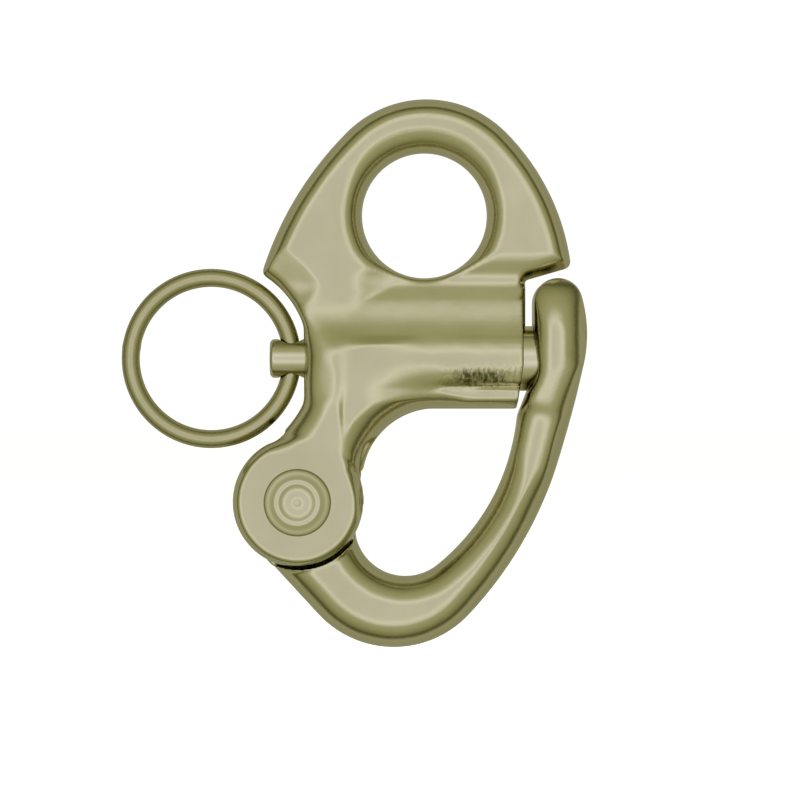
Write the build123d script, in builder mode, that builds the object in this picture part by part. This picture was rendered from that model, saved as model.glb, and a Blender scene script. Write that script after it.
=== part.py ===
from build123d import *
import os
from math import cos, radians, sin, sqrt

os.makedirs("parts", exist_ok=True)

# Fixed snap shackle, seen from its front (-Y). The origin is the centre of the eye, on the
# mid-plane. +Z runs up the load line from the jaw to the eye, +X from the tail to the nose.

# ---- driving dimensions (mm) ----
same = 0.01  # lengths this close together count as the same
past = 1.0  # a cut runs this far past the surface
eye_r = 8.0  # eye that the shackle is fastened by
eye_mouth_r = 2.6
plate_t = 8.0  # eye plate and its wings
plate_edge_r = 2.2
arch_centre = (0.25, 0.5)  # round top of the eye plate
arch_r = 14.4
shoulder_right = (18.8, -6.6)
notch_corner = (12.9, -8.3)  # inner corner above the jaw's tip
shoulder_corner_r = 0.9

barrel_z = -18.3  # axis of the plunger
barrel_r = 5.9
barrel_x = -12.4  # the barrel proper starts here, inside the neck
nose_x = 12.55
wall_angle = 19  # the left wall's upper end, seen from the ring's centre
wall_corner_r = 3.0
hollow_r = 10.0  # hollow between the plate and the barrel
bead_half_t = 4.6  # rounded rib along the underside of the barrel
bead_z = -24.75
bead_x = 0.0
bead_edge_r = 1.5
nose_slope_z = -19.2  # below this height the nose leans back
nose_slope = 0.95

hinge_centre = (-16.1, -36.6)
ear_r = 8.3
fork_t = 12.6  # over both ears
ear_edge_r = 0.8
slot_t = 6.5
slot_r = 9.0  # depth of the slot, from the hinge axis
neck_t = 12.5
neck_edge_r = 4.0
loop_r = 9.5  # round inner corner between the ears and the barrel
loop_centre = (1.5, -34.2)

shank_r = 2.9
shank_fit = 0.02  # radial, rivet in the ears
hinge_fit = 0.06  # radial, jaw on the rivet
head_r = 4.3
head_top_r = 3.2
head_h = 1.0
dish_r = 2.3
dish_h = 0.45

bore_r = 4.25
bore_end_x = -11.4
piston_fit = 0.07
piston_back_x = 2.0
piston_tip_x = 15.9
piston_tip_r = 1.2
tail_r = 2.5
tail_fit = 0.06
tail_end_x = -19.8
tail_end_chamfer = 0.4

wire_r = 1.2  # pull ring
ring_r = 10.35
ring_seat = 0.15  # the curved wire sits this far off the cross-hole's axis
cross_hole_x = -17.15
cross_hole_r = 1.6
relief_r = 12.6  # relief in the body around the ring, above the tail
relief_low_r = 13.2  # and below it
relief_low_angle = -61  # it runs into the ears here
relief_low_sweep = 36
neck_top_angle = 31
relief_sweep = 40  # from the wall up to the left shoulder
neck_top_x = (-13.4, -8.0)  # the neck ends inside the plate, between these

spring_wire_r = 0.42
spring_r = 3.38
spring_turns = 7
spring_gap = 0.02  # free play at each end of the coil

jaw_t = 9.0
jaw_edge_r = 2.4
tongue_t = 6.0
tongue_r = 8.0
cheek_r = 8.6  # the arm's shoulders, round the ears
flank_angle = 223.3  # direction that the jaw's straight flank faces
flank_low = (-13.64, -51.09)
sole_end = (5.7, -51.2)  # the outline's arcs run on through these points, each tangent to the last
outer_mid = (17.0, -32.0)
tip_bulge = (20.4, -18.5)
tip_shoulder = (20.0, -10.3)
face_top = (13.95, -11.2)
face_low = (13.95, -20.5)
crook_end = (-8.93, -39.9)
back_centre = (-16.07, -22.88)  # long inner arc of the jaw
back_r = 28.15
back_start = -51
back_sweep = 45.5
tip_t = 12.4
tip_edge_r = 2.6
tip_blend_centre = (17.0, -15.0)  # the thick tip ends in this circle
tip_blend_r = 10.5
socket_r = 4.5
socket_depth = 2.5
socket_chamfer = 0.3


def on_circle(centre, r, angle):
    return (centre[0] + r * cos(radians(angle)), centre[1] + r * sin(radians(angle)))


def circles(part, radius):
    """The round edges of a part that have this radius."""
    return part.edges().filter_by(lambda e: e.geom_type == GeomType.CIRCLE and abs(e.radius - radius) < same)


def rim(part):
    """The edges of the two flat faces that close a part across Y."""
    faces = part.faces().sort_by(Axis.Y)
    return faces[0].edges() + faces[-1].edges()


# ---- body: eye plate with its two wings ----
ring_centre = (cross_hole_x + ring_seat - ring_r, barrel_z)
hinge_axis = Axis((hinge_centre[0], 0, hinge_centre[1]), (0, 1, 0))
barrel_axis = Axis((0, 0, barrel_z), (1, 0, 0))

with BuildPart() as eye_plate:
    with BuildSketch(Plane.XZ):
        with BuildLine():
            crown = CenterArc(arch_centre, arch_r, 45, 90)
            relief = CenterArc(ring_centre, relief_r, wall_angle, relief_sweep)
            TangentArc(crown @ 1, relief @ 1, tangent=crown % 1)
            wall = Line(relief @ 0, ((relief @ 0).X, barrel_z))
            Polyline(wall @ 1, (notch_corner[0], barrel_z), notch_corner, shoulder_right)
            TangentArc(crown @ 0, shoulder_right, tangent=(crown % 0) * -1)
        make_face()
        shoulders = vertices().sort_by(Axis.X)
        fillet([shoulders[0], shoulders[-1]], shoulder_corner_r)
    extrude(amount=plate_t / 2, both=True)
    fillet(rim(eye_plate), plate_edge_r)

# ---- body: barrel, with the hollow that runs up to the plate and the bead along its underside ----
half_t = plate_t / 2
hollow_z = barrel_z + sqrt((barrel_r + hollow_r) ** 2 - (half_t + hollow_r) ** 2)
to_hollow = Vector(half_t + hollow_r, hollow_z - barrel_z).normalized()
on_barrel = (to_hollow.X * barrel_r, barrel_z + to_hollow.Y * barrel_r)

with BuildPart() as barrel:
    with BuildSketch(Plane.YZ.offset(barrel_x)):
        with Locations((0, barrel_z)):
            Circle(barrel_r)
        with BuildLine():
            RadiusArc((half_t, hollow_z), on_barrel, -hollow_r)
            Polyline(on_barrel, (0, barrel_z), (0, hollow_z), (half_t, hollow_z))
        make_face()
        mirror(about=Plane.YZ)
    extrude(amount=nose_x - barrel_x)

# ---- body: neck, from the wings down to the ears, hollowed in line with the barrel ----
with BuildPart() as neck:
    with BuildSketch(Plane.XZ):
        with BuildLine():
            underside = CenterArc(loop_centre, loop_r, 90, 90)
            low_relief = CenterArc(ring_centre, relief_low_r, relief_low_angle, relief_low_sweep)
            top_relief = CenterArc(ring_centre, relief_r, wall_angle, neck_top_angle - wall_angle)
            Polyline(underside @ 1, (loop_centre[0] - loop_r, hinge_centre[1]), hinge_centre, low_relief @ 0)
            Line(low_relief @ 1, top_relief @ 0)
            Polyline(
                top_relief @ 1,
                (neck_top_x[0], hollow_z),
                (neck_top_x[1], hollow_z),
                (loop_centre[0], barrel_z),
                underside @ 0,
            )
        make_face()
        at_wall = vertices().filter_by_position(Axis.Y, (low_relief @ 1).Y - same, (top_relief @ 0).Y + same)
        fillet(at_wall.sort_by(Axis.X)[0:2], wall_corner_r)
    extrude(amount=neck_t / 2, both=True)
    wall_rim = rim(neck).filter_by_position(Axis.X, ring_centre[0], barrel_x)
    wall_rim = wall_rim.filter_by_position(Axis.Z, (low_relief @ 0).Y, (top_relief @ 1).Y)
    fillet(wall_rim + circles(neck, loop_r), neck_edge_r)
    with BuildSketch(Plane.YZ):
        with Locations((half_t + hollow_r, hollow_z), (-half_t - hollow_r, hollow_z)):
            Circle(hollow_r)
    extrude(amount=2 * shoulder_right[0], both=True, mode=Mode.SUBTRACT)

# ---- body: the casting in one piece, then its machining ----
with BuildPart() as body:
    add(eye_plate)
    add(barrel)
    add(neck)
    # bead along the underside of the barrel
    with BuildSketch(Plane.YZ.offset(bead_x)):
        with Locations((0, (barrel_z + bead_z) / 2)):
            Rectangle(2 * bead_half_t, barrel_z - bead_z)
        fillet(vertices().group_by(Axis.Y)[0], bead_edge_r)
    extrude(amount=nose_x - bead_x)
    # the fork, still one disc
    with BuildSketch(Plane.XZ):
        with Locations(hinge_centre):
            Circle(ear_r)
    extrude(amount=fork_t / 2, both=True)
    fillet(rim(body), ear_edge_r)
    # the nose leans back below the plunger
    with BuildSketch(Plane.XZ):
        with BuildLine():
            nose_foot = (nose_x - nose_slope, bead_z - past)
            Polyline((nose_x, nose_slope_z), (nose_x + past, bead_z - past), nose_foot, close=True)
        make_face()
    extrude(amount=fork_t, both=True, mode=Mode.SUBTRACT)
    # eye
    with BuildSketch(Plane.XZ):
        Circle(eye_r)
    extrude(amount=fork_t, both=True, mode=Mode.SUBTRACT)
    fillet(circles(body, eye_r), eye_mouth_r)
    # slot for the jaw's tongue, and the rivet's hole
    for cut_r, cut_t in ((slot_r, slot_t), (shank_r + shank_fit, 2 * fork_t)):
        with BuildSketch(Plane.XZ):
            with Locations(hinge_centre):
                Circle(cut_r)
        extrude(amount=cut_t / 2, both=True, mode=Mode.SUBTRACT)
    # stepped bore for the plunger: out through the nose, and back through the wall
    for cut_r, cut_length in ((bore_r, 2 * nose_x - bore_end_x), (tail_r + tail_fit, tail_end_x)):
        with BuildSketch(Plane.YZ.offset(bore_end_x)):
            with Locations((0, barrel_z)):
                Circle(cut_r)
        extrude(amount=cut_length, mode=Mode.SUBTRACT)

body.part.label = "body"
export_step(body.part, "parts/body.step")

# ---- hinge rivet: one shank, a front head with a dished top, a plain rear head ----
head_y = fork_t / 2

with BuildPart() as hinge_rivet:
    with BuildSketch(Plane.YZ.offset(hinge_centre[0])):
        with BuildLine():
            axis_z = hinge_centre[1]
            front_y = -head_y - head_h
            dish = TangentArc((front_y + dish_h, axis_z), (front_y, axis_z + dish_r), tangent=(0, 1))
            Polyline(
                dish @ 1,
                (front_y, axis_z + head_top_r),
                (-head_y, axis_z + head_r),
                (-head_y, axis_z + shank_r),
                (head_y, axis_z + shank_r),
                (head_y, axis_z + head_r),
                (-front_y, axis_z + head_top_r),
                (-front_y, axis_z),
                dish @ 0,
            )
        make_face()
    revolve(axis=hinge_axis)

hinge_rivet.part.label = "hinge_rivet"
export_step(hinge_rivet.part, "parts/hinge_rivet.step")

# ---- jaw: one bent casting with a hinge tongue and a thick tip ----
flank_top = on_circle(hinge_centre, tongue_r, flank_angle)

with BuildPart() as jaw_arm:
    with BuildSketch(Plane.XZ) as jaw_outline:
        with BuildLine():
            flank = Line(flank_top, flank_low)
            sole = TangentArc(flank @ 1, sole_end, tangent=flank % 1)
            outer_low = TangentArc(sole @ 1, outer_mid, tangent=sole % 1)
            outer_high = TangentArc(outer_low @ 1, tip_bulge, tangent=outer_low % 1)
            tip_side = TangentArc(outer_high @ 1, tip_shoulder, tangent=outer_high % 1)
            tip = TangentArc(tip_side @ 1, face_top, tangent=tip_side % 1)
            back = CenterArc(back_centre, back_r, back_start, back_sweep)
            Polyline(tip @ 1, face_low, back @ 1)
            crook = TangentArc(back @ 0, crook_end, tangent=(back % 0) * -1)
            Polyline(crook @ 1, hinge_centre, flank_top)
        make_face()
    extrude(amount=jaw_t / 2, both=True)
    fillet(rim(jaw_arm), jaw_edge_r)

with BuildPart() as jaw_tip:
    with BuildSketch(Plane.XZ):
        add(jaw_outline.sketch_local)
        with Locations(tip_blend_centre):
            Circle(tip_blend_r, mode=Mode.INTERSECT)
    extrude(amount=tip_t / 2, both=True)
    fillet(rim(jaw_tip), tip_edge_r)

with BuildPart() as jaw:
    add(jaw_arm)
    add(jaw_tip)
    # cheeks cut back on both sides, so that only the tongue enters the fork
    for cheek in (Plane.XZ.offset(tongue_t / 2), Plane.XZ.offset(-tongue_t / 2 - jaw_t)):
        with BuildSketch(cheek):
            with Locations(hinge_centre):
                Circle(cheek_r)
        extrude(amount=jaw_t, mode=Mode.SUBTRACT)
    with BuildSketch(Plane.XZ):
        with Locations(hinge_centre):
            Circle(tongue_r)
    extrude(amount=tongue_t / 2, both=True)
    with BuildSketch(Plane.XZ):
        with Locations(hinge_centre):
            Circle(shank_r + hinge_fit)
    extrude(amount=jaw_t, both=True, mode=Mode.SUBTRACT)
    # blind socket that the plunger locks into
    with BuildSketch(Plane.YZ.offset(face_top[0] - socket_depth)):
        with Locations((0, barrel_z)):
            Circle(socket_r)
    extrude(amount=2 * socket_depth, mode=Mode.SUBTRACT)
    chamfer(circles(jaw, socket_r).sort_by(Axis.X)[0], socket_chamfer)

jaw.part.label = "jaw"
export_step(jaw.part, "parts/jaw.step")

# ---- plunger: piston, tail rod and the cross-hole for the ring ----
piston_r = bore_r - piston_fit

with BuildPart() as plunger:
    with BuildSketch(Plane.XZ):
        with BuildLine():
            Polyline(
                (tail_end_x, barrel_z),
                (piston_tip_x, barrel_z),
                (piston_tip_x, barrel_z + piston_r),
                (piston_back_x, barrel_z + piston_r),
                (piston_back_x, barrel_z + tail_r),
                (tail_end_x, barrel_z + tail_r),
                close=True,
            )
        make_face()
    revolve(axis=barrel_axis)
    ends = plunger.faces().filter_by(GeomType.PLANE).sort_by(Axis.X)
    fillet(ends[-1].edges(), piston_tip_r)
    chamfer(ends[0].edges(), tail_end_chamfer)
    with BuildSketch(Plane.XY.offset(barrel_z)):
        with Locations((cross_hole_x, 0)):
            Circle(cross_hole_r)
    extrude(amount=barrel_r, both=True, mode=Mode.SUBTRACT)

plunger.part.label = "plunger"
export_step(plunger.part, "parts/plunger.step")

# ---- plunger spring: round wire, coiled round the tail rod behind the piston ----
spring_length = piston_back_x - bore_end_x - 2 * spring_wire_r - 2 * spring_gap

with BuildPart() as plunger_spring:
    with BuildLine():
        coil = Helix(
            pitch=spring_length / spring_turns,
            height=spring_length,
            radius=spring_r,
            center=(bore_end_x + spring_wire_r + spring_gap, 0, barrel_z),
            direction=(1, 0, 0),
        )
    with BuildSketch(Plane(coil @ 0, z_dir=coil % 0)):
        Circle(spring_wire_r)
    sweep(is_frenet=True)

plunger_spring.part.label = "plunger_spring"
export_step(plunger_spring.part, "parts/plunger_spring.step")

# ---- pull ring: round wire, welded closed, through the plunger's cross-hole ----
with BuildPart() as pull_ring:
    with BuildSketch(Plane.XY.offset(barrel_z)):
        with Locations((ring_centre[0] + ring_r, 0)):
            Circle(wire_r)
    revolve(axis=Axis((ring_centre[0], 0, barrel_z), (0, 1, 0)))

pull_ring.part.label = "pull_ring"
export_step(pull_ring.part, "parts/pull_ring.step")
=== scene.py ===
from math import cos, pi, radians, sin

import bmesh
import bpy
import numpy as np
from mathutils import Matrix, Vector
from mathutils.kdtree import KDTree


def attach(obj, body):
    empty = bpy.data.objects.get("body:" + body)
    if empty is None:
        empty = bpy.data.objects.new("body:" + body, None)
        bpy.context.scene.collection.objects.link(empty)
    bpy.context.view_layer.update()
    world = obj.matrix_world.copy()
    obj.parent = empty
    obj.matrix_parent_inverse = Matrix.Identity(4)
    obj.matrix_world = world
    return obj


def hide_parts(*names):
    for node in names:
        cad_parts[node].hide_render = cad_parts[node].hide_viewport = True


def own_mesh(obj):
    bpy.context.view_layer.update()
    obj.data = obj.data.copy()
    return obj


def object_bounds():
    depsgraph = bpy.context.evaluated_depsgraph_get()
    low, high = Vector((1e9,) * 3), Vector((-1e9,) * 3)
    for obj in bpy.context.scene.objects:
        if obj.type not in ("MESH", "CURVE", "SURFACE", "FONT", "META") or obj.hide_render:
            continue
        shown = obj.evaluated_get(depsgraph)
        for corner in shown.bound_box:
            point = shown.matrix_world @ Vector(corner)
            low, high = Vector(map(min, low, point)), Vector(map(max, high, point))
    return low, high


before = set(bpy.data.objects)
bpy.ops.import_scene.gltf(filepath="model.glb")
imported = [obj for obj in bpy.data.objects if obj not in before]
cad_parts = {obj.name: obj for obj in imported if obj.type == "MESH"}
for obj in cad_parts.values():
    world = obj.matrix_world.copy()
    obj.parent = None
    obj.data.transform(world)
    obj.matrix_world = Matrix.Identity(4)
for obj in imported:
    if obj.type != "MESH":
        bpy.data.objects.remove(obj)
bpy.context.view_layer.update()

MM = 0.001  # sizes are written in millimetres from the eye's centre: x towards the nose, y back, z up

# ---- body ----
# The one-piece investment casting: eye plate with two wings, barrel for the plunger, neck and fork.
# It is 316 stainless steel, tumbled and hand polished, so that every cast edge has gone round and
# the flats keep a fine satin grain. The bore, the eye and the fork are machined in it.
BODY_VOXEL = 0.17 * MM
SKIN_LIMIT = 190000  # triangles in one skin
POLISH_ROUNDS = 6
EYE_R = 8.0
PLATE_HALF = 4.0
PLATE_EDGE = 2.5  # width of the wings' rounded edge
PLATE_FOOT_Z = -11.5  # where the wings' rounded edge ends
BARREL_Z = -18.3
BARREL_HALF = 5.9
NOSE_HALF = 4.4  # least half thickness of the barrel's round front
BAND_TOP_Z = -15.7
HOLLOW_TOP = (-8.3, 2.75)  # height and half thickness at the eye's lower lip
HOLLOW_FOOT_HALF = 5.45
LIP_SLOPE = 0.42
RIB_HALF = 6.22
RIB_RISE = 2.4
RIB_X = -11.1
BAND_WIDTH = 4.4
BAND_SLOPE = 0.34
CREST_FADE = 2.5  # lifts the band clear of the surface, so that it ends above the ears
BAND_EDGE = (1.3, 1.6)  # width and height of the rounding along the relief
CREASE_Z, CREASE_WIDTH, CREASE_DEPTH = -21.9, 0.26, 0.5
LOOP_CENTRE = (1.5, -34.2)
LOOP_R = 9.5
BEAD_Z = -24.75
BEAD_END_X = 12.7
HINGE = (-16.1, -36.6)
EAR_INSIDE = 3.4  # half thickness of the fork's slot, with a little to spare
EAR_EDGE = 1.2
RIVET_ROOM = 4.6
AT_WALL = 0.1  # least distance from a wall that a rounded edge starts at


def smooth_step(x, low, high):
    t = np.clip((x - low) / (high - low), 0, 1)
    return t * t * (3 - 2 * t)


def dome(distance, width, height):
    """Half thickness of an edge that rounds off over a width, at a distance from its outline."""
    return height * np.sqrt(1 - (1 - np.clip(distance / width, 0, 1)) ** 2)


def under(thick, cap, soft=0.3):
    """The lower of two half thicknesses, with a soft change from one to the other."""
    h = np.clip(0.5 + 0.5 * (thick - cap) / soft, 0, 1)
    return thick + (cap - thick) * h - soft * h * (1 - h)


def from_outline(x, y, z, normal_y, keep, low=0.0, high=1.2):
    """Each point's distance, seen from the front, to the part's outline where keep holds, cut at a depth."""
    wall = (np.abs(normal_y) < 0.25) & (np.abs(y) >= low) & (np.abs(y) < high) & keep
    tree = KDTree(int(wall.sum()))
    for i, (px, pz) in enumerate(zip(x[wall], z[wall])):
        tree.insert((px, 0, pz), i)
    tree.balance()
    return np.array([tree.find((px, 0, pz))[2] for px, pz in zip(x, z)])


def shape_plate(thick, x, y, z, normal_y):
    """The eye plate: domed outer edge, the eye's mouth, and the hollow below it with the rib at its left."""
    r = np.hypot(x, z)
    outer = from_outline(x, y, z, normal_y, (r > EYE_R + 2) & (z > np.where(x < 0, -7.0, -8.6)))
    rounded = (outer < PLATE_EDGE) & (z > PLATE_FOOT_Z)
    edge = dome(np.maximum(outer, AT_WALL), PLATE_EDGE, PLATE_HALF)
    thick = np.where(rounded, under(thick, edge, 0.1), thick)
    # the mouth is tight below, wider at the sides, and round over at the crown
    mouth = 1.1 + 1.5 * smooth_step(z / r, -0.95, -0.45) + 1.3 * smooth_step(z / r, 0.2, 1.0)
    thick = np.where(r < EYE_R + mouth, under(thick, dome(r - EYE_R, mouth, PLATE_HALF), 0.1), thick)
    # the hollow runs from the eye's thin lower lip up to the barrel
    top, lip_half = HOLLOW_TOP
    down = lip_half + (HOLLOW_FOOT_HALF - lip_half) / (top - BAND_TOP_Z) * (top - z)
    up = lip_half + LIP_SLOPE * (z - top)
    ramp = -under(-down, -up, 0.8)
    wing = smooth_step(z, -12.5, -8.0)
    ramp = ramp + RIB_RISE * (1 - smooth_step(x, RIB_X - 0.2 - 4.5 * wing, RIB_X + 1.6 + 7.0 * wing))
    return np.where((z > BAND_TOP_Z) & (r > EYE_R + 0.3), under(thick, ramp, 0.4), thick)


def shape_barrel(thick, x, y, z, normal_y):
    """The neck: flat at the rib's height, turning into the round barrel, with a band down its left side."""
    flat = BARREL_HALF + (RIB_HALF - BARREL_HALF) * (1 - smooth_step(x, RIB_X, RIB_X + 0.9))
    flat = flat + (RIB_HALF - BARREL_HALF) * smooth_step(-z, 24, 31)
    roundness = smooth_step(x, -8.0, 1.5)
    across = np.clip(np.abs(z - BARREL_Z) / BARREL_HALF, 0, 0.98)
    cylinder = BARREL_HALF * np.sqrt(1 - across ** 2)
    flow = flat * (1 - roundness) + np.maximum(cylinder, NOSE_HALF) * roundness
    flow = under(thick, np.minimum(flow, RIB_HALF), 0.12)
    thick = np.where((z < BAND_TOP_Z) & (x < LOOP_CENTRE[0] + 0.3), flow, thick)
    tail_hole = (np.abs(z - BARREL_Z) < 3.3) & (x > -15.2)
    wall = from_outline(x, y, z, normal_y, (x < -12) & (z < -7.2) & (z > -33) & ~tail_hole)
    crest = PLATE_HALF + (RIB_HALF - PLATE_HALF) * smooth_step(-z, 8.5, 15.0)
    crest = crest + CREST_FADE * smooth_step(-z, 22.5, 28.0)
    width, height = BAND_EDGE
    edge = np.minimum(0, dome(np.maximum(wall, AT_WALL), width, height) - height)
    band = under(thick, crest - BAND_SLOPE * np.maximum(0, BAND_WIDTH - wall) + edge, 0.12)
    thick = np.where((x < -8) & (z > -31) & (wall < BAND_WIDTH + 0.4), band, thick)
    crease = CREASE_DEPTH * np.exp(-((z - CREASE_Z) / CREASE_WIDTH) ** 2)
    return thick - crease * smooth_step(x, 0.4, 3.0) * smooth_step(thick, 3.5, 4.2)


def shape_fork(thick, x, y, z, normal_y):
    """The edge round the loop, wide at the barrel and narrow at the ears, and the ears' own rims."""
    cx, cz = LOOP_CENTRE
    loop = np.where(z > cz, np.hypot(x - cx, z - cz) - LOOP_R, cx - LOOP_R - x)
    loop = np.maximum(np.where(x > cx, z - BEAD_Z, loop), 0.12)
    bead = smooth_step(x, 0.6, 5.5)
    loop_edge = 0.9 + 4.3 * smooth_step(z, -37, -26) - 3.6 * bead
    edge_half = RIB_HALF + 0.05 - 1.47 * bead
    ear_least = (EAR_INSIDE + 0.3) * smooth_step(-z, 27.0, 29.5)
    rounded = under(thick, np.maximum(dome(loop, loop_edge, edge_half), ear_least), 0.15)
    thick = np.where((z < -22 + 2 * (1 - bead)) & (x < BEAD_END_X), rounded, thick)
    from_hinge = np.hypot(x - HINGE[0], z - HINGE[1])
    rim = from_outline(x, y, z, normal_y, (z < -24.5) & (x < -7) & (from_hinge > 6), 3.8, 5.2)
    edge = EAR_INSIDE + dome(np.maximum(rim, AT_WALL / 2), EAR_EDGE, RIB_HALF - EAR_INSIDE)
    edge = under(thick, edge + 4 * smooth_step(z, -29, -25), 0.1)
    return np.where((z < -25) & (from_hinge > RIVET_ROOM), edge, thick)


def shape_body(x, y, z, normal_y):
    """Hand-polished forms over the whole casting."""
    thick = np.abs(y)
    for shape in (shape_plate, shape_barrel, shape_fork):
        thick = shape(thick, x, y, z, normal_y)
    return np.sign(y) * thick


def as_mesh(obj, name):
    """The object's mesh with its modifiers applied, in place of the old one, and no modifiers left."""
    bpy.context.view_layer.update()
    made = bpy.data.meshes.new_from_object(obj.evaluated_get(bpy.context.evaluated_depsgraph_get()))
    made.name = name
    obj.modifiers.clear()
    obj.data = made


def points_of(obj, what):
    """The mesh's points, or their normals, one row each."""
    rows = np.empty(len(obj.data.vertices) * 3, np.float32)
    obj.data.vertices.foreach_get(what, rows)
    return rows.reshape(-1, 3)


def even(obj, name, voxel):
    remesh = obj.modifiers.new("even", "REMESH")
    remesh.mode = "VOXEL"
    remesh.voxel_size = voxel
    as_mesh(obj, name)


def skin(node, name, voxel, shape, softened):
    """One even, rounded skin over a CAD solid, relaxed in regions given as centre, reach, depth, rounds."""
    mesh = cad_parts[node].data.copy()
    mesh.materials.clear()
    welded = bmesh.new()
    welded.from_mesh(mesh)
    bmesh.ops.remove_doubles(welded, verts=welded.verts, dist=2e-6)
    welded.to_mesh(mesh)
    welded.free()
    obj = bpy.data.objects.new(name, mesh)
    bpy.context.scene.collection.objects.link(obj)
    even(obj, name, voxel)
    co, normals = points_of(obj, "co"), points_of(obj, "normal")
    x, y, z = co.T / MM
    co[:, 1] = shape(x, y, z, normals[:, 1]) * MM
    obj.data.vertices.foreach_set("co", co.ravel())
    obj.data.update()
    even(obj, name, voxel)
    for centre, reach, depth, times in softened:
        x, y, z = points_of(obj, "co").T / MM
        away = np.sqrt(((x - centre[0]) / reach[0]) ** 2 + ((z - centre[1]) / reach[1]) ** 2)
        weight = (1 - smooth_step(away, 0.5, 1.0)) * smooth_step(np.abs(y), depth - 0.7, depth + 0.7)
        group = obj.vertex_groups.new(name="soft")
        for k in np.nonzero(weight > 0.01)[0]:
            group.add([int(k)], float(weight[k]), "REPLACE")
        relax = obj.modifiers.new("soft", "SMOOTH")
        relax.vertex_group = "soft"
        relax.factor = 0.9
        relax.iterations = times
        as_mesh(obj, name)
        obj.vertex_groups.clear()
    smooth = obj.modifiers.new("polish", "SMOOTH")
    smooth.factor = 0.5
    smooth.iterations = POLISH_ROUNDS
    triangles = sum(len(p.vertices) - 2 for p in obj.data.polygons)
    if triangles > SKIN_LIMIT:
        thin = obj.modifiers.new("thin", "DECIMATE")
        thin.ratio = SKIN_LIMIT / triangles
    as_mesh(obj, name)
    obj.data.shade_smooth()
    return obj


def linear(code):
    """An sRGB hex colour as the shader's linear one."""
    parts = [int(code[i:i + 2], 16) / 255 for i in (1, 3, 5)]
    return [c / 12.92 if c <= 0.04045 else ((c + 0.055) / 1.055) ** 2.4 for c in parts] + [1]


def put(tree, kind, inputs, **settings):
    """Adds a node: settings are its own, inputs are values or the sockets they come from."""
    made = tree.nodes.new(kind)
    for name, value in settings.items():
        setattr(made, name, value)
    for name, value in inputs.items():
        if isinstance(value, bpy.types.NodeSocket):
            tree.links.new(value, made.inputs[name])
        else:
            made.inputs[name].default_value = value
    return made


def shaded_brush_marks(tree, place, tint, normal, marks):
    """Upright brush marks in relief, with painted shade in short dark strokes, in a region given as axis, low
    and high.
    """
    at = put(tree, "ShaderNodeSeparateXYZ", {"Vector": place})
    streaks = put(tree, "ShaderNodeMapping", {"Vector": place, "Scale": (1, 1, 0.16)})
    lines = put(tree, "ShaderNodeTexNoise", {"Vector": streaks.outputs["Vector"], "Scale": 1 / (MARK_MM * MM),
                                             "Detail": 3.0})
    height = lines.outputs["Fac"]
    for axis, low, high in marks:
        middle = put(tree, "ShaderNodeMath", {0: at.outputs[axis], 1: (low + high) / 2 * MM},
                     operation="SUBTRACT")
        out = put(tree, "ShaderNodeMath", {0: middle.outputs[0]}, operation="ABSOLUTE")
        inside = put(tree, "ShaderNodeMapRange", {"Value": out.outputs[0], "From Min": (high - low) / 2 * MM,
                                                  "From Max": (high - low) / 9 * MM},
                     interpolation_type="SMOOTHSTEP")
        masked = put(tree, "ShaderNodeMath", {0: height, 1: inside.outputs[0]}, operation="MULTIPLY")
        height = masked.outputs[0]
    normal = put(tree, "ShaderNodeBump", {"Height": height, "Strength": 1.0, "Distance": MARK_DEPTH * MM,
                                          "Normal": normal}).outputs["Normal"]
    # painted shade: the tint turns dark olive where the marks rise
    painted_shade = put(tree, "ShaderNodeMapRange", {"Value": height, "From Min": 0.3, "From Max": 0.6})
    tint = put(tree, "ShaderNodeMix", {"Factor": painted_shade.outputs["Result"], 6: tint, 7: linear(MARK_SHADE)},
               data_type="RGBA")
    return tint.outputs[2], normal


def steel(name, light, dark, roughness, spread, grain_mm, grain_depth, wave_depth, stretch=(1, 1, 1),
          marks=()):
    """Bare stainless steel: two tints in soft patches, and a grain of the given size and depth."""
    material = bpy.data.materials.new(name)
    material.use_nodes = True
    tree = material.node_tree
    tree.nodes.clear()
    place = put(tree, "ShaderNodeTexCoord", {}).outputs["Object"]
    along = put(tree, "ShaderNodeMapping", {"Vector": place, "Scale": stretch}).outputs["Vector"]
    patches = put(tree, "ShaderNodeTexNoise", {"Vector": place, "Scale": 1 / (PATCH_MM * MM), "Detail": 3.0})
    grain = put(tree, "ShaderNodeTexNoise", {"Vector": along, "Scale": 1 / (grain_mm * MM), "Detail": 4.0,
                                             "Roughness": 0.62})
    tint = put(tree, "ShaderNodeMix", {"Factor": patches.outputs["Fac"], 6: linear(dark), 7: linear(light)},
               data_type="RGBA").outputs[2]
    rough = put(tree, "ShaderNodeMapRange", {"Value": grain.outputs["Fac"], "From Min": 0.3, "From Max": 0.7,
                                             "To Min": roughness - spread, "To Max": roughness + spread})
    waves = put(tree, "ShaderNodeTexNoise", {"Vector": place, "Scale": 1 / (WAVE_MM * MM), "Detail": 1.5})
    rolled = put(tree, "ShaderNodeBump", {"Height": waves.outputs["Fac"], "Strength": 1.0,
                                          "Distance": wave_depth * MM})
    bump = put(tree, "ShaderNodeBump", {"Height": grain.outputs["Fac"], "Strength": 1.0,
                                        "Distance": grain_depth * MM, "Normal": rolled.outputs["Normal"]})
    normal = bump.outputs["Normal"]
    if marks:
        tint, normal = shaded_brush_marks(tree, place, tint, normal, marks)
    shader = put(tree, "ShaderNodeBsdfPrincipled", {"Base Color": tint, "Metallic": 1.0, "Normal": normal,
                                                    "Roughness": rough.outputs["Result"]})
    put(tree, "ShaderNodeOutputMaterial", {"Surface": shader.outputs["BSDF"]})
    return material


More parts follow.
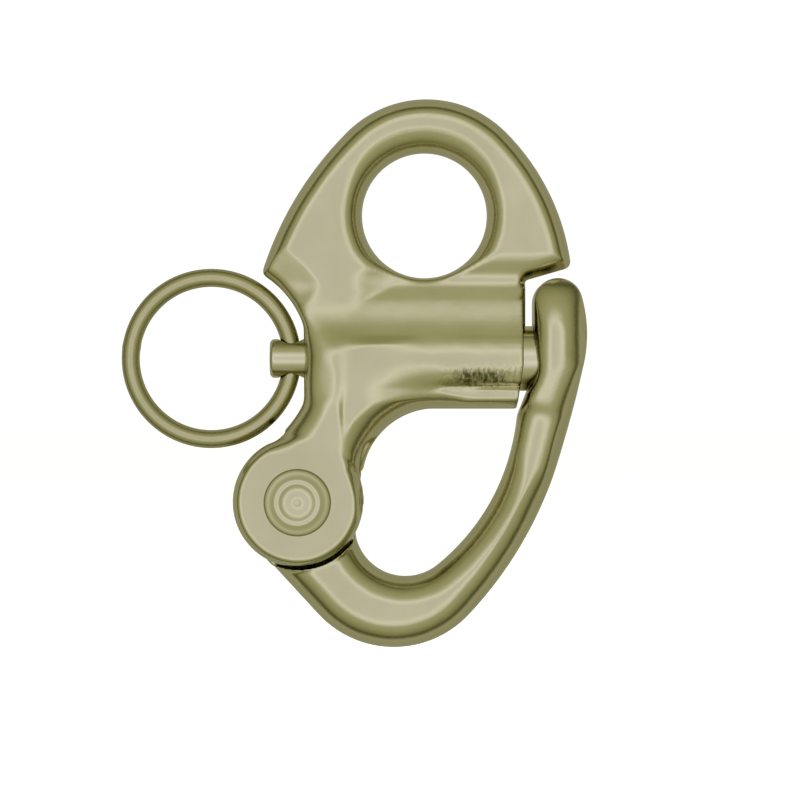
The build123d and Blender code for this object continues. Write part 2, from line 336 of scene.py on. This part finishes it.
# Cast stainless steel, tumbled and hand polished: a warm satin metal with soft highlights, slightly uneven
# in tint and wave. The real grit marks are about 0.05 mm, and are drawn at 0.3 mm so that they show.
PATCH_MM = 7
WAVE_MM = 3.5
CAST_TINTS = ("#D6D1B0", "#C6C09A")
CAST_FINISH = dict(roughness=0.17, spread=0.05, grain_mm=0.3, grain_depth=0.008, wave_depth=0.06)
# The barrel's lower front keeps upright brush marks in relief, with painted shade in short dark strokes where
# it turns down.
MARK_MM = 0.45
MARK_DEPTH = 0.35
# dark olive of the painted shade in the strokes
MARK_SHADE = "#6C6843"
BRUSHED_AND_SHADED = (("X", 0.5, 13.5), ("Z", -22.8, -18.6))
cast_steel = steel("tumbled_cast_stainless", *CAST_TINTS, **CAST_FINISH)
body_steel = steel("tumbled_cast_stainless_brushed_painted_shade", *CAST_TINTS, **CAST_FINISH, marks=BRUSHED_AND_SHADED)
BODY_SOFTENED = [
    ((1.5, -20.5), (6.5, 6.5), 2.7, 60), ((-11.5, -13.5), (5.0, 6.0), 2.7, 90),
    ((-12.6, -19.0), (4.0, 7.0), 2.7, 120), ((-18.4, -27.6), (2.6, 2.6), -1.0, 40),
    ((-17.0, -28.0), (4.0, 4.0), 4.5, 40), ((2.0, -25.0), (4.0, 2.5), 2.7, 40),
]
body = skin("body", "body_casting", BODY_VOXEL, shape_body, BODY_SOFTENED)
body.data.materials.append(body_steel)
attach(body, "frame")
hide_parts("body")

# ---- jaw ----
# The second investment casting, of the same steel: a tongue between the ears, a round arm, and a thicker
# tip with a blind socket for the plunger. It is polished like the body, and turns on the hinge rivet.
JAW_VOXEL = 0.15 * MM
ARM_HALF = 4.5
ARM_EDGE = 4.0
TIP_HALF = 6.2
TIP_EDGE = 2.8
TIP_X = 16.7
TIP_ROUND = 4.7  # reach of the tip's crown, across it
TIP_TOP = 8.5  # reach of the tip's crown, over its top
FREE_EDGE = 0.4  # rounding where the tip faces the barrel
TONGUE_R = 8.8
SOCKET_X = (14.3, 17.0)
SOCKET_R = 4.9
JAW_SOFTENED = [((16.0, -25.5), (7.5, 8.5), 2.7, 200)]


def shape_jaw(x, y, z, normal_y):
    """A full round section along the arm, and a tip that thins down into it."""
    socket = (x > SOCKET_X[0]) & (x < SOCKET_X[1]) & (np.abs(z - BARREL_Z) < SOCKET_R)
    hinge = np.hypot(x - HINGE[0], z - HINGE[1]) < TONGUE_R
    inset = from_outline(x, y, z, normal_y, ~socket & ~hinge)
    tip = smooth_step(z, -30, -17.5)
    free = smooth_step(z, -38, -21) * (1 - smooth_step(x, 15.0, 17.5))
    half = ARM_HALF + (TIP_HALF - ARM_HALF) * tip
    width = (ARM_EDGE - (ARM_EDGE - TIP_EDGE) * tip) * (1 - free) + FREE_EDGE * free
    edge = (half - (half - TIP_EDGE) * tip) * (1 - free) + FREE_EDGE * free
    across = np.sqrt(1 - np.clip((x - TIP_X) / TIP_ROUND, -0.8, 0.8) ** 2)
    over = np.sqrt(1 - (np.maximum(z + 15.5, 0) / TIP_TOP) ** 2)
    crown = TIP_HALF * across * over + 4 * (1 - smooth_step(z, -25, -20))
    cap = np.minimum(dome(inset, width, edge) + half - edge, half)
    cap = under(np.abs(y), np.where(z > -28, under(cap, crown, 0.2), cap), 0.2)
    return np.sign(y) * np.where(hinge | (np.abs(y) < 0.3), np.abs(y), cap)


jaw = skin("jaw", "jaw_casting", JAW_VOXEL, shape_jaw, JAW_SOFTENED)
jaw.data.materials.append(cast_steel)
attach(jaw, "jaw")
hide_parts("jaw")

# ---- hinge rivet ----
# A 5.8 mm stainless steel rivet through both ears and the jaw's tongue. Its front head is dished with a
# small centre cone, as a rotary riveting tool leaves it, and its rear head is plainly domed.
RIVET_CENTRE = (HINGE[0], 0.0, HINGE[1])
RIVET_TURNS = 40
RIVET_PROFILE = [
    (-7.14, 0.0), (-7.12, 0.25), (-7.0, 0.6), (-6.97, 1.2), (-7.0, 1.75), (-7.17, 2.2), (-7.25, 2.4),
    (-7.27, 2.75), (-7.2, 3.0), (-6.98, 3.45), (-6.86, 3.95), (-6.72, 4.2), (-6.5, 4.3), (-6.24, 4.3),
    (-6.22, 4.3), (-6.22, 2.9), (6.22, 2.9), (6.22, 4.3), (6.26, 4.3), (6.5, 4.3), (6.8, 4.1), (7.05, 3.4),
    (7.2, 2.4), (7.28, 1.2), (7.29, 0.0),
]
# Formed stainless steel: a little brighter than the castings, and smooth, so that its rings show as lines.
rivet_steel = steel("formed_stainless", "#D9D4B6", "#C9C3A0", roughness=0.2, spread=0.03, grain_mm=0.25,
                    grain_depth=0.004, wave_depth=0.0)


def turned(name, profile, centre, turns, axis):
    """A turned piece: the profile's (along, radius) points swung round an axis, closed at its two poles."""
    side, up = [i for i in range(3) if i != axis]
    points, faces, rows = [], [], []
    for along, radius in profile:
        ring = []
        for k in range(turns if radius else 1):
            point = list(centre)
            point[axis] += along
            point[side] += radius * cos(2 * pi * k / turns)
            point[up] += radius * sin(2 * pi * k / turns)
            ring.append(len(points))
            points.append([c * MM for c in point])
        rows.append(ring)
    for first, second in zip(rows, rows[1:]):
        for k in range(turns):
            corners = [first[k % len(first)], first[(k + 1) % len(first)]]
            corners += [second[(k + 1) % len(second)], second[k % len(second)]]
            faces.append(list(dict.fromkeys(corners)))
    mesh = bpy.data.meshes.new(name)
    mesh.from_pydata(points, [], faces)
    outward = bmesh.new()
    outward.from_mesh(mesh)
    bmesh.ops.recalc_face_normals(outward, faces=outward.faces)
    outward.to_mesh(mesh)
    outward.free()
    mesh.shade_smooth()
    obj = bpy.data.objects.new(name, mesh)
    bpy.context.scene.collection.objects.link(obj)
    rounding = obj.modifiers.new("rounding", "SUBSURF")
    rounding.levels = rounding.render_levels = 2
    return obj


rivet = turned("rivet", RIVET_PROFILE, RIVET_CENTRE, RIVET_TURNS, 1)
as_mesh(rivet, "rivet")
rivet.data.materials.append(rivet_steel)
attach(rivet, "frame")
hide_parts("hinge_rivet")

# ---- plunger ----
# Turned stainless steel rod: an 8.4 mm piston that locks in the jaw's socket, and a 5 mm tail that comes
# out through the neck and is cross-drilled for the ring. Turning leaves fine rings round it.
PISTON_BACK_X = 2.0
PLUNGER_PROFILE = [
    (-19.8, 0.0), (-19.8, 1.2), (-19.8, 2.0), (-19.78, 2.16), (-19.62, 2.34), (-19.48, 2.47), (-19.3, 2.5),
    (-18.9, 2.5), (-12.0, 2.5), (1.6, 2.5), (1.95, 2.5), (PISTON_BACK_X, 2.6), (PISTON_BACK_X, 3.9),
    (2.05, 4.1), (2.25, 4.18), (3.0, 4.18), (9.0, 4.18), (14.3, 4.18), (14.75, 4.16), (15.2, 3.98),
    (15.6, 3.6), (15.83, 3.1), (15.9, 2.6), (15.9, 1.2), (15.9, 0.0),
]
PLUNGER_TURNS = 40
CROSS_HOLE_X = -17.15
CROSS_HOLE_R = 1.6
CROSS_HOLE_PROFILE = [(-4, 0), (-4, CROSS_HOLE_R), (0, CROSS_HOLE_R), (4, CROSS_HOLE_R), (4, 0)]
CROSS_HOLE_TURNS = 48
CROSS_HOLE_CORNER = radians(40)
# Turned stainless steel bar: the brightest finish here. Its grain is drawn out round the bar, as the tool
# leaves it, so that its highlights run along it in clean bands.
plunger_steel = steel("turned_stainless_bar", "#DDD8BC", "#D0CAA8", roughness=0.17, spread=0.03,
                      grain_mm=0.25, grain_depth=0.004, wave_depth=0.0, stretch=(6, 1, 1))

plunger = turned("plunger_rod", PLUNGER_PROFILE, (0, 0, BARREL_Z), PLUNGER_TURNS, 0)
as_mesh(plunger, "plunger_rod")
drill = turned("drill", CROSS_HOLE_PROFILE, (CROSS_HOLE_X, 0, BARREL_Z), CROSS_HOLE_TURNS, 2)
drill.modifiers.clear()
hole = plunger.modifiers.new("cross_hole", "BOOLEAN")
hole.operation = "DIFFERENCE"
hole.object = drill
as_mesh(plunger, "plunger_rod")
bpy.data.objects.remove(drill)
plunger.data.materials.clear()
plunger.data.materials.append(plunger_steel)
plunger.data.set_sharp_from_angle(angle=CROSS_HOLE_CORNER)
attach(plunger, "plunger")
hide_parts("plunger")

# ---- plunger spring ----
# Stainless music-wire compression spring, coiled round the tail behind the piston and closed in by the
# barrel. It is cold coiled and left as drawn. On the real shackle it shortens as the plunger is pulled back;
# here it is one coil of fixed length, held with the frame.
SPRING_START_X = -10.96
SPRING_LENGTH = 12.52
# Drawn stainless wire: greyer and duller than the polished parts, with fine die lines.
spring_steel = steel("drawn_spring_wire", "#CFCAB0", "#BDB795", roughness=0.25, spread=0.05, grain_mm=0.2,
                     grain_depth=0.004, wave_depth=0.0)

coil_nodes = bpy.data.node_groups.new("coiled_wire", "GeometryNodeTree")
coil_sizes = {"Coil radius": 3.38 * MM, "Wire radius": 0.42 * MM, "Turns": 7.0, "Length": SPRING_LENGTH * MM}
for name, value in coil_sizes.items():
    coil_nodes.interface.new_socket(name, in_out="INPUT", socket_type="NodeSocketFloat").default_value = value
coil_nodes.interface.new_socket("Geometry", in_out="OUTPUT", socket_type="NodeSocketGeometry")
sizes = put(coil_nodes, "NodeGroupInput", {})
coil = put(coil_nodes, "GeometryNodeCurveSpiral", {
    "Resolution": 64, "Rotations": sizes.outputs["Turns"], "Height": sizes.outputs["Length"],
    "Start Radius": sizes.outputs["Coil radius"], "End Radius": sizes.outputs["Coil radius"]})


def wire_along(tree, path, wire_radius, rounding, turn, centre, finish, ends):
    """Round wire along a path in a node tree, then turned, set in its place and given its finish."""
    wire = put(tree, "GeometryNodeCurvePrimitiveCircle", {"Resolution": rounding, "Radius": wire_radius},
               mode="RADIUS")
    tube = put(tree, "GeometryNodeCurveToMesh", {"Curve": path, "Profile Curve": wire.outputs["Curve"],
                                                 "Fill Caps": ends})
    laid = put(tree, "GeometryNodeTransform", {"Geometry": tube.outputs["Mesh"], "Rotation": turn,
                                               "Translation": [c * MM for c in centre]})
    smooth = put(tree, "GeometryNodeSetShadeSmooth", {"Geometry": laid.outputs["Geometry"]})
    whole = put(tree, "GeometryNodeRealizeInstances", {"Geometry": smooth.outputs["Geometry"]})
    finished = put(tree, "GeometryNodeSetMaterial", {"Geometry": whole.outputs["Geometry"],
                                                     "Material": finish})
    put(tree, "NodeGroupOutput", {"Geometry": finished.outputs["Geometry"]})


def piece_of(name, tree):
    """A new object whose mesh is what the node tree makes."""
    obj = bpy.data.objects.new(name, bpy.data.meshes.new(name))
    bpy.context.scene.collection.objects.link(obj)
    obj.modifiers.new(tree.name, "NODES").node_group = tree
    as_mesh(obj, name)
    return obj


wire_along(coil_nodes, coil.outputs["Curve"], sizes.outputs["Wire radius"], 16, (0, radians(90), 0),
           (SPRING_START_X, 0, BARREL_Z), spring_steel, ends=True)
spring = piece_of("coil_spring", coil_nodes)
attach(spring, "frame")
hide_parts("plunger_spring")
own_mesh(spring)

# ---- pull ring ----
# 2.4 mm stainless steel wire bent to a ring, butt welded and barrel polished. It hangs in the plunger's
# cross-hole. The polish is softer than a turned face's, and the weld stays as a slight swelling.
RING_R = 10.35
WIRE_R = 1.2
RING_CENTRE = (-27.35, 0.0, BARREL_Z)
WELD_ANGLE = 172
WELD_REACH = 3.0
WELD_SWELL = 0.03  # share of the wire's radius
# Barrel polished wire: duller and a shade darker than the castings, with a softer highlight.
ring_steel = steel("barrel_polished_wire", "#C8C39C", "#B5AF86", roughness=0.27, spread=0.05, grain_mm=0.3,
                   grain_depth=0.006, wave_depth=0.02)

ring_nodes = bpy.data.node_groups.new("bent_wire", "GeometryNodeTree")
for name, value in {"Ring radius": RING_R * MM, "Wire radius": WIRE_R * MM}.items():
    ring_nodes.interface.new_socket(name, in_out="INPUT", socket_type="NodeSocketFloat").default_value = value
ring_nodes.interface.new_socket("Geometry", in_out="OUTPUT", socket_type="NodeSocketGeometry")
sizes = put(ring_nodes, "NodeGroupInput", {})
path = put(ring_nodes, "GeometryNodeCurvePrimitiveCircle", {
    "Resolution": 192, "Radius": sizes.outputs["Ring radius"]}, mode="RADIUS")
wire_along(ring_nodes, path.outputs["Curve"], sizes.outputs["Wire radius"], 32, (radians(90), 0, 0),
           RING_CENTRE, ring_steel, ends=False)
ring = piece_of("ring_of_wire", ring_nodes)
points = points_of(ring, "co")
spokes = points - np.array(RING_CENTRE) * MM
angle = np.degrees(np.arctan2(spokes[:, 2], spokes[:, 0]))
swell = WELD_SWELL * np.exp(-((np.abs(angle) - WELD_ANGLE) / WELD_REACH) ** 2) * (angle > 0)
on_path = spokes * [1, 0, 1] / np.linalg.norm(spokes * [1, 0, 1], axis=1)[:, None] * RING_R * MM
points += ((spokes - on_path) * (swell - WELD_SWELL)[:, None]).astype(np.float32)
ring.data.vertices.foreach_set("co", points.ravel())
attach(ring, "pull_ring")
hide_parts("pull_ring")

# ---- stage, light and camera ----
# A sheet of white paper well below the shackle, which hangs by its eye and needs room for its open jaw,
# and a white light tent round it. The tent's dim seam draws the dark lines along the steel's edges.
OPEN_JAW_ROOM = 35 * MM
PAPER_SIDE = 6.0
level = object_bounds()[0].z - OPEN_JAW_ROOM
sheet = [(x * PAPER_SIDE, y * PAPER_SIDE, level) for x, y in ((-1, -1), (1, -1), (1, 1), (-1, 1))]
floor_mesh = bpy.data.meshes.new("floor")
floor_mesh.from_pydata(sheet, [], [(0, 1, 2, 3)])
floor = bpy.data.objects.new("floor", floor_mesh)
bpy.context.scene.collection.objects.link(floor)
# Matt white paper: it glows a little, as paper in a lit tent does, so that it meets the wall with no line.
paper = bpy.data.materials.new("white_paper")
paper.use_nodes = True
paper_values = {"Base Color": linear("#F6F6F4"), "Roughness": 0.9, "Emission Color": (1, 1, 1, 1),
                "Emission Strength": 0.75}
for name, value in paper_values.items():
    paper.node_tree.nodes["Principled BSDF"].inputs[name].default_value = value
floor.data.materials.append(paper)
floor.visible_glossy = False

# the tent's light from its front opening, through its bright ring and its dark seam, to its back
TENT_BACK = (0.07, 1.0, 0.0)
TENT_STOPS = [
    (0.0, (0.76, 0.76, 0.79)), (0.005, (0.78, 0.78, 0.81)), (0.022, (1.0, 0.99, 1.04)),
    (0.055, (0.80, 0.80, 0.79)), (0.12, (0.50, 0.51, 0.36)), (0.25, (0.41, 0.42, 0.26)),
    (0.38, (0.28, 0.285, 0.15)), (0.46, (0.09, 0.09, 0.038)), (0.53, (0.16, 0.16, 0.08)),
    (0.60, (0.44, 0.44, 0.31)), (0.85, (0.36, 0.36, 0.25)),
]
WALL_GLOW = 1.05
world = bpy.data.worlds.new("tent")
bpy.context.scene.world = world
world.use_nodes = True
tree = world.node_tree
tree.nodes.clear()
direction = put(tree, "ShaderNodeTexCoord", {}).outputs["Generated"]
away = put(tree, "ShaderNodeVectorMath", {0: direction, 1: Vector(TENT_BACK).normalized()},
           operation="DOT_PRODUCT")
share = put(tree, "ShaderNodeMapRange", {"Value": away.outputs["Value"], "From Min": -1.0, "From Max": 1.0})
ramp = put(tree, "ShaderNodeValToRGB", {"Fac": share.outputs["Result"]})
elements = ramp.color_ramp.elements
while len(elements) < len(TENT_STOPS):
    elements.new(0.5)
for element, (position, colour) in zip(elements, TENT_STOPS):
    element.position = position
    element.color = (*colour, 1)
tent = put(tree, "ShaderNodeBackground", {"Color": ramp.outputs["Color"], "Strength": 1.0})
pale = put(tree, "ShaderNodeBackground", {"Color": (1, 1, 1, 1), "Strength": WALL_GLOW})
seen = put(tree, "ShaderNodeLightPath", {})
mixed = put(tree, "ShaderNodeMixShader", {0: seen.outputs["Is Camera Ray"], 1: tent.outputs["Background"],
                                          2: pale.outputs["Background"]})
put(tree, "ShaderNodeOutputWorld", {"Surface": mixed.outputs["Shader"]})

SOFTBOX_PLACE = (-0.15, -0.35, 0.55)
SOFTBOX_AIM = (0, 0, -0.03)
SOFTBOX_SIDE = 0.5
light = bpy.data.lights.new("top_softbox", "AREA")
light.shape = "RECTANGLE"
light.size = light.size_y = SOFTBOX_SIDE
light.energy = 9.0
lamp = bpy.data.objects.new("top_softbox", light)
lamp.location = SOFTBOX_PLACE
lamp.rotation_mode = "QUATERNION"
lamp.rotation_quaternion = (Vector(SOFTBOX_AIM) - lamp.location).to_track_quat("-Z", "Y")
lamp.visible_camera = False
lamp.visible_glossy = False
bpy.context.scene.collection.objects.link(lamp)

VIEW_WIDTH = 102.72 * MM
VIEW_X = -3.13 * MM
VIEW_Z = -23.63 * MM
LENS = 135
SENSOR = 36
camera_data = bpy.data.cameras.new("camera")
camera_data.lens = LENS
camera_data.sensor_width = SENSOR
camera = bpy.data.objects.new("camera", camera_data)
camera.location = (VIEW_X, -VIEW_WIDTH * LENS / SENSOR, VIEW_Z)
camera.rotation_euler = (radians(90), 0, 0)
bpy.context.scene.collection.objects.link(camera)
bpy.context.scene.camera = camera
bpy.context.scene.view_settings.view_transform = "Standard"
